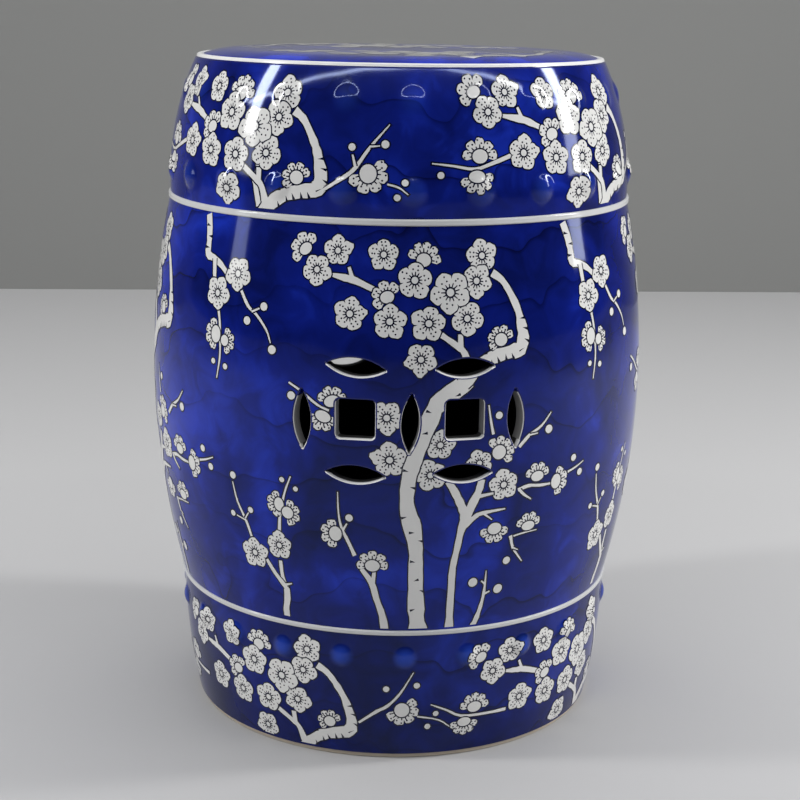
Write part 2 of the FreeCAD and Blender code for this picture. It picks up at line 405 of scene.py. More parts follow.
def band_wall(name, outline, low, high, glaze, light, replaces):
    """A blue band with its studs, as one sheet. light is how pale the studs' crests are painted, a
    painted highlight kept on the points.
    """
    rows = [row[0] for row in outline.studs]
    heights = fine_steps(low, high, 3.0, 1.0, rows, STUD_REACH)
    columns = 960
    angles = np.linspace(0, 360, columns, endpoint=False)
    angle, z = (part.ravel() for part in np.meshgrid(angles, heights))
    points = wall_points(outline, angle, z)
    normals = wall_normals(outline, angle, z)
    faces = grid_faces(len(heights), columns)
    piece = make_piece(name, points, faces, [glaze], replaces, normals)
    # Painted highlight mask: each point's stud height, scaled by how pale its crest is painted.
    rise = stud_height(outline, angle, z)
    mark = piece.data.attributes.new("stud_crest_highlight", "FLOAT", "POINT")
    mark.data.foreach_set("value", rise * light / max(row[2] for row in outline.studs))


def rounded_hole(x, y, arcs, corner, turn=0.0):
    """A hole of (centre, radius, from, to, count) arcs, turned.

    Its points lie inside its edge by the corner's radius, and come with their normals.
    """
    points = []
    normals = []
    for centre, radius, start, end, count in arcs:
        ways = polar(np.linspace(start, end, count), 1.0)
        points.extend(centre + ways * (radius - corner))
        normals.extend(ways)
    lean = polar([turn, turn + 90], 1.0)
    return np.array(points) @ lean + (x, y), np.array(normals) @ lean, corner


def square_hole(x, y):
    """The square in the middle of a coin."""
    arm = SQUARE_SIDE / 2 - SQUARE_ROUND
    arcs = [
        ((arm * right, arm * up), SQUARE_ROUND, start, start + 90, 5)
        for right, up, start in ((1, 1, 0), (-1, 1, 90), (-1, -1, 180), (1, -1, 270))
    ]
    return rounded_hole(x, y, arcs, SQUARE_ROUND)


def lens_hole(x, y, turn):
    """The lens where two rings of a coin pattern cross, with slightly rounded tips."""
    bend = (LENS_LENGTH ** 2 / 4 + LENS_WIDTH ** 2 / 4) / LENS_WIDTH
    drop = bend - LENS_WIDTH / 2
    end = LENS_LENGTH / 2 - LENS_ROUND
    reach = math.degrees(math.asin(end / (bend - LENS_ROUND)))
    arcs = [
        ((0, -drop), bend, 90 - reach, 90 + reach, 17),
        ((-end, 0), LENS_ROUND, 90 + reach, 270 - reach, 5),
        ((0, drop), bend, 270 - reach, 270 + reach, 17),
        ((end, 0), LENS_ROUND, reach - 90, 90 - reach, 5),
    ]
    return rounded_hole(x, y, arcs, LENS_ROUND, turn)


def coin_holes():
    """The holes of one double coin, cut by hand, flat, with x in millimetres round the wall."""
    holes = [square_hole(side * COIN_REACH, COIN_HEIGHT - 0.3) for side in (-1, 1)]
    for column, row, turn, drop in (
        (-1, 1, -5, 2.0), (1, 1, 1, 2.2),
        (-1, -1, -3, 1.6), (1, -1, -1, 1.0),
        (-2, 0, 91, 2.4), (0, 0, 88, 2.4), (2, 0, 92, 2.0),
    ):
        holes.append(lens_hole(column * COIN_REACH, COIN_HEIGHT + row * COIN_REACH - drop, turn))
    return holes


def hole_loop(hole, offset):
    """The outline of a hole, widened by offset."""
    base, normals, round_radius = hole
    return base + normals * (round_radius + offset)


def windowed_sheet():
    """Flat points (angle, z) and faces of the drum's wall, with the coin holes left open."""
    step = 360 / SKIN_COLUMNS
    heights = np.linspace(LOWER_SEAM, UPPER_SEAM, 90)
    window = [COIN_HEIGHT - WINDOW_HEIGHT / 2, COIN_HEIGHT + WINDOW_HEIGHT / 2]
    first, last = np.searchsorted(heights, window)
    flat = [(column * step, z) for z in heights for column in range(SKIN_COLUMNS)]
    faces = []
    for index, face in enumerate(grid_faces(len(heights), SKIN_COLUMNS)):
        row, column = divmod(index, SKIN_COLUMNS)
        off = ((column + 0.5) * step + 90) % 180 - 90
        if not first <= row < last or abs(off) > WINDOW_COLUMNS * step:
            faces.append(face)
    points, triangles = window_triangles(heights[first:last + 1], step)
    for half_turn in (0, 180):
        start = len(flat)
        flat.extend(((x + half_turn) % 360, z) for x, z in points)
        faces.extend(tuple(start + index for index in triangle) for triangle in triangles)
    return welded(np.array(flat), faces)


def window_triangles(heights, step):
    """The part of the wall round one double coin, cut into triangles round its holes."""
    columns = [column * step for column in range(-WINDOW_COLUMNS, WINDOW_COLUMNS + 1)]
    border = [(x, heights[0]) for x in columns]
    border += [(columns[-1], z) for z in heights[1:-1]]
    border += [(x, heights[-1]) for x in reversed(columns)]
    border += [(columns[0], z) for z in reversed(heights[1:-1])]
    loops = [hole_loop(hole, EDGE_ROUND) / (COIN_SCALE, 1) for hole in coin_holes()]
    edge = np.concatenate(loops)
    inner = []
    for z in heights[1:-1]:
        for x in columns[1:-1]:
            gaps = np.hypot((edge[:, 0] - x) * COIN_SCALE, edge[:, 1] - z)
            if gaps.min() > 1.2:
                inner.append((x, z))
    points, owned = triangulated([border, *loops], inner, 1e-5)
    return points, [face for face, owners in owned if max(owners) == 0]


def triangulated(outlines, inner, nearest):
    """Cuts outlines and inner points into triangles: the points, and (face, outlines) pairs."""
    points = []
    rings = []
    for outline in outlines:
        rings.append(list(range(len(points), len(points) + len(outline))))
        points.extend(Vector(pair) for pair in np.asarray(outline).tolist())
    points.extend(Vector(pair) for pair in inner)
    made = delaunay_2d_cdt(points, [], rings, 1, nearest, True)
    return [tuple(point) for point in made[0]], list(zip(made[2], made[5]))


def welded(points, faces):
    """Joins points at one place, and drops the points and faces that this leaves unused."""
    places, index_of = np.unique(np.round(points, 3), axis=0, return_inverse=True)
    faces = [tuple(index_of[index] for index in face) for face in faces]
    used, faces = trimmed([face for face in faces if len(set(face)) == len(face)])
    return places[used], faces


def trimmed(faces):
    """Which points the faces use, and the faces with only these points counted."""
    used = sorted({index for face in faces for index in face})
    order = {index: count for count, index in enumerate(used)}
    return used, [tuple(order[index] for index in face) for face in faces]


def drum_skin(flat, faces):
    """The outer sheet of the drum with both double coins cut out."""
    points = wall_points(DRUM, *flat.T)
    normals = wall_normals(DRUM, *flat.T)
    make_piece("drum_skin", points, faces, [BLUE], ["drum_wall"], normals)


def inner_skin(flat, faces):
    """The bare inside of the body, from the floor to the seat, coloured nearly black as painted
    shade.
    """
    angle, z = flat.T
    parts = [(round_axis(DRUM.radius(z, WALL), angle, z), faces)]
    for outline, low, high in ((BASE, 0.5, LOWER_SEAM), (SHOULDER, UPPER_SEAM, SEAT_UNDER)):
        profile = [(outline.radius(z, WALL), z) for z in np.linspace(low, high, 24)]
        parts.append(lathe(profile, SKIN_COLUMNS))
    points, faces = welded(*joined(parts))
    faces = [face[::-1] for face in faces]
    make_piece("inner_skin", points, faces, [INNER_SHADE], ["drum_wall"])


def coin_edges():
    """The rounded edges of the holes and the walls behind them."""
    rounding = [
        (EDGE_ROUND * (1 - math.sin(turn)), EDGE_ROUND * (1 - math.cos(turn)))
        for turn in np.radians([0, 22.5, 45, 67.5, 90])
    ]
    straight = [(0, depth) for depth in (2.0, 3.2, 5.5, 7.5)]
    back = [(offset, WALL - depth) for offset, depth in reversed(rounding)]
    profile = rounding + straight + back
    finishes = [EDGE_BLUE, RIM_WHITE, HOLE_WALL, INNER_SHADE]
    for side, half_turn in (("front", 0), ("back", 180)):
        parts = []
        slots = []
        for hole in coin_holes():
            rows = []
            for offset, depth in profile:
                x, z = hole_loop(hole, offset).T
                rows.append(round_axis(DRUM.radius(z, depth), x / COIN_SCALE + half_turn, z))
            parts.append((np.concatenate(rows), grid_faces(len(rows), len(rows[0]))))
            ups = -hole[1][:, 1]
            # Painted light and shade: each face's finish follows which way its cut faces.
            slots += [edge_slot(row, up) for row in range(len(rows) - 1) for up in ups]
        points, faces = joined(parts)
        faces = [face[::-1] for face in faces]
        name = "coin_edges_" + side
        make_piece(name, points, faces, finishes, ["drum_wall"], slots=slots)


def edge_slot(row, up):
    """Which finish a cut has, from the way it faces. Row 0 is the blue glaze over the edge. Below
    it the finish is partly painted light and shade: white where the cut faces up to the light, with
    the nearly black inside colour deep in that foot where shade falls; blue where it faces down,
    partly glaze hanging thick over the top and partly painted shade.
    """
    blue, white, wall, dark = range(4)
    if row == 0 or up < -0.45:
        return blue if row < 8 else wall
    if up > 0.45:
        return white if row < 6 else dark
    if row < 2:
        return blue
    return white if row < 4 else wall


def rib(name, z, width, low_outline, high_outline, replaces):
    """A raised white band over a seam."""
    profile = []
    for turn in np.linspace(-1, 1, 15):
        here = z + turn * width / 2
        outline = low_outline if turn < 0 else high_outline
        rise = (RIB_RISE + 0.6) * (1 - abs(turn) ** 3.5) ** 0.5 - 0.6
        profile.append((outline.radius(here) + rise, here))
    points, faces = lathe(profile, BAND_COLUMNS)
    make_piece(name, points, faces, [RIB_WHITE], replaces)


def seat_height(radius):
    """The top of the seat: a flat middle that falls softly to the rim."""
    fall = np.clip((radius - SEAT_FLAT_RADIUS) / (SLAB_RADIUS - SEAT_FLAT_RADIUS), 0, 1)
    return SEAT_TOP - (SEAT_TOP - RIM_TOP + 0.2) * fall ** 2


def seat():
    """The seat slab's top and edge, and the rim round it."""
    radii = [2.0, 20, 40, 60, 80, 100, 112, 116, 120, 124, 127, 130, 132, 133.4]
    top = [(radius, float(seat_height(radius))) for radius in radii]
    side = [(SLAB_RADIUS - 0.3, RIM_TOP - 0.9), (SLAB_RADIUS - 0.3, SEAT_UNDER + 4)]
    points, faces = lathe(list(reversed(top + side)), SKIN_COLUMNS)
    centre = len(points)
    ring = list(range(centre - SKIN_COLUMNS, centre))
    points = np.concatenate([points, [(0, 0, SEAT_TOP)]])
    faces += [(here, beside, centre) for here, beside in zip(ring, ring[1:] + ring[:1])]
    make_piece("seat_top", points, faces, [SEAT_BLUE_LIT], ["seat_slab"])
    outer = [(0.45, -2.0), (0.35, -1.0), (-0.1, -0.35), (-0.8, 0.0)]
    inner = [(0.9, 0.0), (0.2, -0.3), (0.0, -1.2)]
    profile = [(SHOULDER.radius(RIM_LOW), RIM_LOW)]
    profile += [(SEAT_EDGE_RADIUS + out, RIM_TOP + up) for out, up in outer]
    profile += [(SLAB_RADIUS + out, RIM_TOP + up) for out, up in inner]
    profile += [(SLAB_RADIUS, RIM_LOW)]
    points, faces = lathe(profile, BAND_COLUMNS)
    finishes = [RIM_WHITE, EDGE_BLUE]
    slots = [1] * BAND_COLUMNS + [0] * (len(faces) - BAND_COLUMNS)
    make_piece("seat_rim_edge", points, faces, finishes, ["seat_rim"], slots=slots)


def foot():
    """The bare ring the stool stands on."""
    outer = FOOT_RADIUS - 0.5
    inner = outer - WALL + 0.5
    profile = [
        (inner, FOOT_TOP), (inner, EDGE_ROUND), (inner + 1.5, 0.0),
        (outer - EDGE_ROUND, 0.0), (outer - 0.45, 0.45), (outer, EDGE_ROUND),
        (outer, FOOT_TOP - 0.3), (FOOT_RADIUS + 0.02, FOOT_TOP),
    ]
    points, faces = lathe(profile, SKIN_COLUMNS)
    make_piece("foot", points, faces, [FOOT], ["foot_ring"])


def body():
    # Stud crests get a painted highlight, stronger on the base (0.8) than on the shoulder (0.35).
    band_wall("base_wall", BASE, FOOT_TOP, LOWER_SEAM, BASE_BLUE_SHADED, 0.8, BASE_NODES)
    sheet = windowed_sheet()
    drum_skin(*sheet)
    coin_edges()
    inner_skin(*sheet)
    band_wall("shoulder_wall", SHOULDER, UPPER_SEAM, RIM_LOW, BLUE, 0.35, SHOULDER_NODES)
    rib("lower_rib_band", LOWER_SEAM, LOWER_RIB_WIDTH, BASE, DRUM, ["lower_rib"])
    rib("upper_rib_band", UPPER_SEAM, UPPER_RIB_WIDTH, DRUM, SHOULDER, ["upper_rib"])
    seat()
    foot()


# Room

ARCH_POWER = 22.0


def panel(name, corners, colour, roughness):
    """A flat, plain part of the studio."""
    material, tree, shader = new_material(name)
    values = {"Base Color": (*colour, 1), "Roughness": roughness, "Specular IOR Level": 0.2}
    tree.fill(shader, values)
    new_mesh(name, corners, [tuple(range(len(corners)))], [material])


def softbox(name, azimuth, distance, height, tilt, width, tall, power, mirrored=True):
    """A soft rectangular lamp at an azimuth from the front, which the glaze may mirror."""
    lamp = bpy.data.lights.new(name, "AREA")
    lamp.shape = "RECTANGLE"
    lamp.size = width
    lamp.size_y = tall
    lamp.energy = power
    fixture = placed(name, lamp)
    fixture.location = round_axis(distance, azimuth, height)
    fixture.rotation_euler = (math.radians(90 - tilt), 0, math.radians(azimuth))
    fixture.visible_glossy = mirrored


def sky():
    """A dome that is bright overhead and dim low down, with one thin arched light in front."""
    world = bpy.data.worlds.new("studio")
    bpy.context.scene.world = world
    world.use_nodes = True
    tree = Shading(world.node_tree)
    way = tree.place("Generated")
    parts = tree.add("SeparateXYZ", {"Vector": way})
    dome = tree.ramp(parts.outputs["Z"], [
        (0.0, (0.05, 0.06, 0.085)),
        (0.55, (0.075, 0.088, 0.12)),
        (0.80, (0.48, 0.50, 0.54)),
    ])
    leaning = tree.add("VectorMath", {0: way, 1: (0.0, 0.57, 1.0)}, operation="DOT_PRODUCT")
    stops = [(0.344, 0.0), (0.348, 1.0), (0.366, 1.0), (0.370, 0.0)]
    arch = tree.ramp(leaning.outputs["Value"], stops)
    front = tree.add("Math", {0: parts.outputs["Y"], 1: 0.0}, operation="LESS_THAN")
    values = {0: front.outputs["Value"], 1: ARCH_POWER}
    power = tree.add("Math", values, operation="MULTIPLY").outputs["Value"]
    both = tree.mix(power, dome, arch, blend_type="ADD", clamp_factor=False)
    tree.fill(world.node_tree.nodes["Background"], {"Color": both})


def room():
    panel("floor", [(-4, -4, 0), (4, -4, 0), (4, 1.6, 0), (-4, 1.6, 0)], (0.46, 0.455, 0.45), 0.8)
    panel("wall", [(-4, 1.6, 0), (4, 1.6, 0), (4, 1.6, 2), (-4, 1.6, 2)], (0.24, 0.24, 0.23), 0.9)
    sky()
    softbox("left_window", -81, 1.6, 1.17, 26, 0.17, 0.84, 14)
    softbox("left_low_window", -80, 1.6, 0.60, 10, 0.22, 0.40, 1.1)
    softbox("right_window", 89, 1.6, 1.17, 26, 0.19, 0.84, 16)
    softbox("right_low_window", 88, 1.6, 0.60, 10, 0.24, 0.40, 2.4)
    softbox("left_fill", -85, 1.8, 0.9, 18, 1.2, 1.2, 1.8, False)
    softbox("right_fill", 78, 1.8, 0.9, 18, 1.2, 1.2, 7.5, False)
    softbox("top_light", 180, 0.5, 2.0, 75, 1.4, 1.0, 10, False)


def camera():
    """The photo's camera: a little to the left of the front, above, and tilted slightly."""
    data = bpy.data.cameras.new("camera")
    data.lens = 74.2
    data.sensor_width = 36.0
    data.clip_start = 0.05
    item = placed("camera", data)
    yaw = turned(-0.145, "Z")
    pitch = turned(90 - 14.05, "X")
    roll = turned(0.82, "Z")
    place = Matrix.Translation((0, -1.150, 0.498))
    item.matrix_world = turned(-3.06, "Z") @ place @ yaw @ pitch @ roll
    bpy.context.scene.camera = item


def turned(degrees, axis):
    return Matrix.Rotation(math.radians(degrees), 4, axis)


# Decor

WHITE_PAINT = 0
LINE_PAINT = 1
NO_PAINT = 2
PETAL_TURNS = (-36, -32, -26, -17, -6, 5, 16, 25, 31)


class Motif:
    """Closed flat shapes, later ones over earlier ones. x runs round the stool, y upwards."""

    def __init__(self, seed, scale=1.0, weight=1.0):
        self.scale = scale
        self.weight = weight
        self.shapes = []
        self.chance = random.Random(seed)
        self.move()

    def move(self, x=0.0, y=0.0, turn=0.0, size=1.0, rise=1.0):
        """Draws from here on round a place. size is for flowers and widths, rise for heights."""
        self.origin = np.array([x, y])
        self.turn = turn
        self.size = size
        self.across = polar(turn, self.scale)
        self.up = polar(turn + 90, rise)

    def at(self, x, y):
        return self.origin + self.across * x + self.up * y

    def add(self, points, paint):
        """Adds an outline, turned anticlockwise."""
        points = np.asarray(points, dtype=float)
        after = np.roll(points, -1, axis=0)
        area = np.sum(points[:, 0] * after[:, 1] - after[:, 0] * points[:, 1])
        self.shapes.append((points if area > 0 else points[::-1], paint))

    def disc(self, centre, wide, tall, tilt, paint, count=20):
        spokes = polar(np.linspace(0, 360, count, endpoint=False), 1.0) * (wide, tall)
        self.add(centre + spokes @ polar([tilt, tilt + 90], 1.0), paint)

    def lined_disc(self, centre, wide, tall, tilt=0.0, count=20):
        """A white round with a dark line round it."""
        self.disc(centre, wide + LINE_WIDTH, tall + LINE_WIDTH, tilt, LINE_PAINT, count)
        self.disc(centre, wide, tall, tilt, WHITE_PAINT, count)

    def dots(self, centre, turn, radius, offsets, size):
        """Small dots in one petal, at (turn off its middle, share of its length)."""
        for off, share in offsets:
            way = turn + off + self.chance.uniform(-2.5, 2.5)
            reach = radius * share * self.chance.uniform(0.96, 1.04)
            self.disc(centre + polar(way, reach), size, size, 0, LINE_PAINT, 8)

    def cleft(self, centre, turn, tip, root, width):
        """The dark wedge between two petals, which widens outwards."""
        side = polar(turn + 90, width / 2)
        outer = centre + polar(turn, root)
        self.add([centre + polar(turn, tip), outer - side, outer + side], LINE_PAINT)

    def stamens(self, centre, start, stop, count, inner, outer, width):
        for turn in np.linspace(start, stop, count):
            side = polar(turn + 90, width / 2)
            low = centre + polar(turn, inner)
            high = centre + polar(turn, outer * self.chance.uniform(0.9, 1.08))
            self.add([low - side, high - side * 0.7, high + side * 0.7, low + side], LINE_PAINT)

    def blossom(self, x, y, radius, phase, pointed=()):
        """A plum blossom seen from the front. phase is the direction of one petal."""
        centre = self.at(x, y)
        radius *= self.size
        phase += self.turn
        turns = []
        reaches = []
        for petal in range(5):
            tip = 0.24 if petal in pointed else self.chance.uniform(-0.02, 0.13)
            size = self.chance.uniform(0.94, 1.04)
            for off in PETAL_TURNS:
                turns.append(phase + 72 * petal + off)
                reach = petal_reach(off) + tip * max(0, 1 - abs(off) / 15)
                reaches.append(radius * reach * size * self.chance.uniform(0.975, 1.02))
        reaches = np.array(reaches)
        self.add(centre + polar(turns, reaches + LINE_WIDTH), LINE_PAINT)
        self.add(centre + polar(turns, reaches), WHITE_PAINT)
        for petal in range(5):
            turn = phase + 72 * petal
            self.cleft(centre, turn + 36, 0.66 * radius, 0.84 * radius, 1.0)
            offsets = [(-14, 0.58), (13, 0.60), (-8, 0.80)]
            if self.chance.random() < 0.45:
                offsets.append((12, 0.79))
            self.dots(centre, turn, radius, offsets, 0.60)
        self.disc(centre, 0.28 * radius, 0.28 * radius, 0, LINE_PAINT)
        self.stamens(centre, phase, phase + 332, 13, 0.24 * radius, 0.46 * radius, 0.9)
        self.disc(centre, 0.19 * radius, 0.19 * radius, 0, WHITE_PAINT, 16)

    def side_blossom(self, x, y, wide, tall, facing, reach, petals=4, spread=190, tilt=0):
        """A plum blossom seen from the side: a plain round and a fan of petals beyond it."""
        centre = self.at(x, y)
        wide *= self.size
        tall *= self.size
        reach *= self.size
        start = facing + self.turn - spread / 2
        share = spread / petals
        turns = np.linspace(start, start + spread, petals * 7 + 1)
        place = np.arange(len(turns)) % 7 / 7
        lobes = 0.78 + 0.22 * (1 - np.abs(2 * place - 1) ** 3.0) ** 0.75
        lobes *= [self.chance.uniform(0.95, 1.03) for _ in turns]
        self.add(fan(centre, turns, reach * lobes + LINE_WIDTH, 0.8), LINE_PAINT)
        self.add(fan(centre, turns, reach * lobes, 0.0), WHITE_PAINT)
        for petal in range(petals):
            low = start + share * petal
            self.dots(centre, low + share / 2, reach, [(-10, 0.74), (8, 0.86)], 0.62)
            if petal:
                self.cleft(centre, low, 0.66 * reach, 0.86 * reach, 1.4)
        size = (wide + tall) / 2
        count = max(5, round(spread / 24))
        self.stamens(centre, start + 12, start + spread - 12, count, size * 0.9, size + 2.4, 1.0)
        self.lined_disc(centre, wide, tall, tilt + self.turn, 24)

    def bud(self, x, y, radius):
        radius *= self.weight ** 0.5
        self.lined_disc(self.at(x, y), radius, radius)

    def branches(self, *branches):
        """Branches that grow out of one another, each through (x, y, width) stations."""
        paths = [self.rough(stations) for stations in branches]
        for path in paths:
            self.add(strip(path, 2 * LINE_WIDTH), LINE_PAINT)
        for path in paths:
            self.add(strip(path, 0.0), WHITE_PAINT)

    def twigs(self, *twigs):
        """Branches that each lie over the one before."""
        for stations in twigs:
            self.branches(stations)

    def void_below(self, y):
        """Cuts everything off below a height."""
        self.add([(-900, y - 90), (900, y - 90), (900, y), (-900, y)], NO_PAINT)

    def rough(self, stations):
        """A curve through the stations whose width wavers like bark."""
        thick = self.weight * self.size
        path = smooth_path([(*self.at(x, y), width * thick) for x, y, width in stations])
        path[:, 2] *= [self.chance.uniform(0.88, 1.12) for _ in path]
        return path

    def notch(self, x, y, turn, length=4.2, width=2.0):
        """A short dark cut in the bark that tapers to its end."""
        start = self.at(x, y)
        turn += self.turn
        side = polar(turn + 90, width / 2)
        self.add([start - side, start + polar(turn, length), start + side], LINE_PAINT)


def each(draw, *rows):
    """Draws one mark for each row of its sizes."""
    for row in rows:
        draw(*row)


def polar(turn, reach):
    """Flat points at a direction in degrees and a distance."""
    turn = np.radians(turn)
    return np.stack([np.cos(turn) * reach, np.sin(turn) * reach], axis=-1)


def petal_reach(off):
    """Length of a broad petal at an angle off its middle, as a share of the blossom's radius."""
    side = abs(off) / 36
    return 0.78 + 0.21 * (1 - side ** 2.4) ** 0.8


def fan(centre, turns, reaches, widen):
    """A fan-shaped outline round centre."""
    root = centre - polar((turns[0] + turns[-1]) / 2, widen)
    return np.concatenate([[root], centre + polar(turns, reaches)])


def smooth_path(stations):
    """A curve through the stations, with widths."""
    points = np.array(stations, dtype=float)
    if len(points) == 2:
        return points
    padded = np.concatenate([[2 * points[0] - points[1]], points, [2 * points[-1] - points[-2]]])
    made = []
    for index in range(1, len(padded) - 2):
        before, here, after, beyond = padded[index - 1:index + 3]
        for share in (0.0, 0.33, 0.67):
            made.append(0.5 * (
                2 * here
                + (after - before) * share
                + (2 * before - 5 * here + 4 * after - beyond) * share ** 2
                + (3 * here - before - 3 * after + beyond) * share ** 3
            ))
    made.append(points[-1])
    return np.array(made)


def strip(path, widen):
    """The outline of a path of (x, y, width)."""
    places = path[:, :2].copy()
    along = np.gradient(places, axis=0)
    along /= np.linalg.norm(along, axis=1, keepdims=True)
    places[-1] += along[-1] * widen / 2
    side = np.stack([-along[:, 1], along[:, 0]], axis=-1) * ((path[:, 2:] + widen) / 2)
    return np.concatenate([places + side, (places - side)[::-1]])


def paint(motif, rows):
    """Cuts the shapes into triangles, each with the paint of the topmost shape on it."""
    outlines = [outline for outline, _ in motif.shapes]
    drawn = np.concatenate(outlines)
    low = drawn.min(axis=0)
    high = drawn.max(axis=0)
    inner = [
        (x + 0.013, y + 0.007)
        for y, spacing in rows if low[1] < y < high[1]
        for x in np.arange(low[0], high[0], spacing)
    ]
    points, owned = triangulated(outlines, inner, 1e-4)
    painted = {WHITE_PAINT: [], LINE_PAINT: [], NO_PAINT: []}
    for face, owners in owned:
        colour = motif.shapes[max(owners)][1] if owners else NO_PAINT
        painted[colour].append(tuple(face))
    return np.array(points), painted


def plain_rows(low, high):
    """Rows of (y, spacing) for inner points where the wall is smooth."""
    return [(y, 4.5) for y in np.arange(low + 2, high, 4.5)]


def studded_rows(outline, low, high):
    """Rows of (y, spacing) for inner points, close together where studs stand."""
    rows = [row[0] for row in outline.studs]
    made = []
    for y in fine_steps(low, high, 4.0, 1.25, rows, STUD_REACH):
        near = any(abs(y - row) < STUD_REACH + 1 for row in rows)
        made.append((y, 1.25 if near else 4.0))
    return made


def on_wall(outline, scale):
    """A function that puts flat points on a wall, with their normals."""

    def place(flat, turn, lift):
        angle = flat[:, 0] / scale + turn
        places = wall_points(outline, angle, flat[:, 1], lift)
        return places, wall_normals(outline, angle, flat[:, 1])

    return place


def on_seat(flat, turn, lift):
    """Puts flat points on the seat, turned round its centre."""
    x, y = (flat @ polar([turn, turn + 90], 1.0)).T
    radius = np.hypot(x, y)
    slope = (seat_height(radius + 0.05) - seat_height(radius - 0.05)) / 0.1
    out = np.stack([-slope * x / radius, -slope * y / radius, np.ones_like(x)], axis=-1)
    out /= np.linalg.norm(out, axis=1, keepdims=True)
    return np.stack([x, y, seat_height(radius)], axis=-1) + out * lift, out


def lay(name, layers, rows, place, first_lift, replaces):
    """Lays each motif on a surface at its turns, as one white and one dark piece."""
    painted = [paint(motif, rows) for motif, _ in layers]
    for colour, tail, material, slot in (
        (WHITE_PAINT, "_blossom", WHITE, "glaze_white"),
        (LINE_PAINT, "_lines", NAVY, "glaze_blue"),
    ):
        parts = []
        normals = []
        for layer, ((flat, shapes), (_, turns)) in enumerate(zip(painted, layers)):
            used, faces = trimmed(shapes[colour])
            for turn in turns:
                places, ways = place(flat, turn, first_lift + 0.02 * layer)
                parts.append((places[used], faces))
                normals.append(ways[used])
        points, faces = joined(parts)
        normals = np.concatenate(normals)
        make_piece(name + tail, points, faces, [material], replaces, normals)


def crown_spray(seed, *place):
    """The flowering branch end that comes back on the drum, both bands and the seat."""
    motif = Motif(seed)
    motif.move(*place)
    motif.branches(
        [(-40.7, -22, 10), (-32.7, -13, 9), (-22.4, -6.5, 8.5), (-9.1, -3.5, 9.5), (-2.4, -2, 10),
         (0, 5, 8.6), (-1.6, 15, 6.2), (-4.2, 24, 5), (-9.3, 34, 4.6), (-14.2, 41, 4.6),
         (-20.6, 45.5, 5.5)],
        [(-36.2, -15, 5.5), (-39.5, -3, 4.5), (-44.5, 2, 4), (-54.3, 9, 3.5)],
        [(-42, -1, 3.5), (-42.2, 9, 3.5)],
    )
    each(motif.notch,
        (-27, -15, 105), (-21.5, -11.5, 100), (-17, -9.5, 110), (-12, -8.5, 100), (-7, -8, 110),
        (4.3, 2, 150), (3.4, 10, 165), (1.6, 17, 185), (-25, -3, 200),
    )
    motif.notch(-3, -3.5, 25, 4.5, 0.9)
    motif.branches(
        [(-123.5, 44, 2.2), (-115, 42.5, 4.2), (-107.9, 41, 4.4), (-96.2, 36, 3.4)],
        [(-109.5, 41, 2.8), (-112.4, 49, 2)],
    )
    motif.side_blossom(-141.9, 58.5, 4.6, 3.6, 140, 11, 4, 210, 35)
    each(motif.blossom,
        (-120.1, 58.5, 9.8, 90, (4,)), (-133.3, 46.5, 10.2, -90), (-90.6, 57, 10.2, 90),
    )
    motif.side_blossom(-65.2, 54, 4.8, 4.2, 78, 11.5, 5)
    motif.blossom(-27.1, 56, 10.8, 100)
    motif.side_blossom(-87.9, 31.7, 4.6, 3.8, 135, 10.5, 4, 215, 15)
    each(motif.blossom,
        (-110.9, 21, 11, 80, (4,)), (-86.1, 17, 11, 87), (-62, 16, 11.5, 80),
        (-37.8, 18.5, 11, -85), (-66.7, -6, 10.5, -93, (0, 4)), (-31.3, 41, 10.8, -90),
        (-70.8, 42, 11.8, 85), (-48.4, 34.5, 13.2, -95),
    )
    motif.side_blossom(-15.6, 4.5, 4.4, 4.2, 120, 9.5, 5, 230)
    motif.move()
    return motif


def voids(motif, pierced):
    """Leaves the decor open over the lower rib and where the coin is cut."""
    motif.void_below(LOWER_SEAM + 3.4)
    for hole in coin_holes() if pierced else ():
        outline = hole_loop(hole, EDGE_ROUND + 0.15)
        outline[:, 0] *= DRUM_SCALE / COIN_SCALE
        motif.add(outline, NO_PAINT)


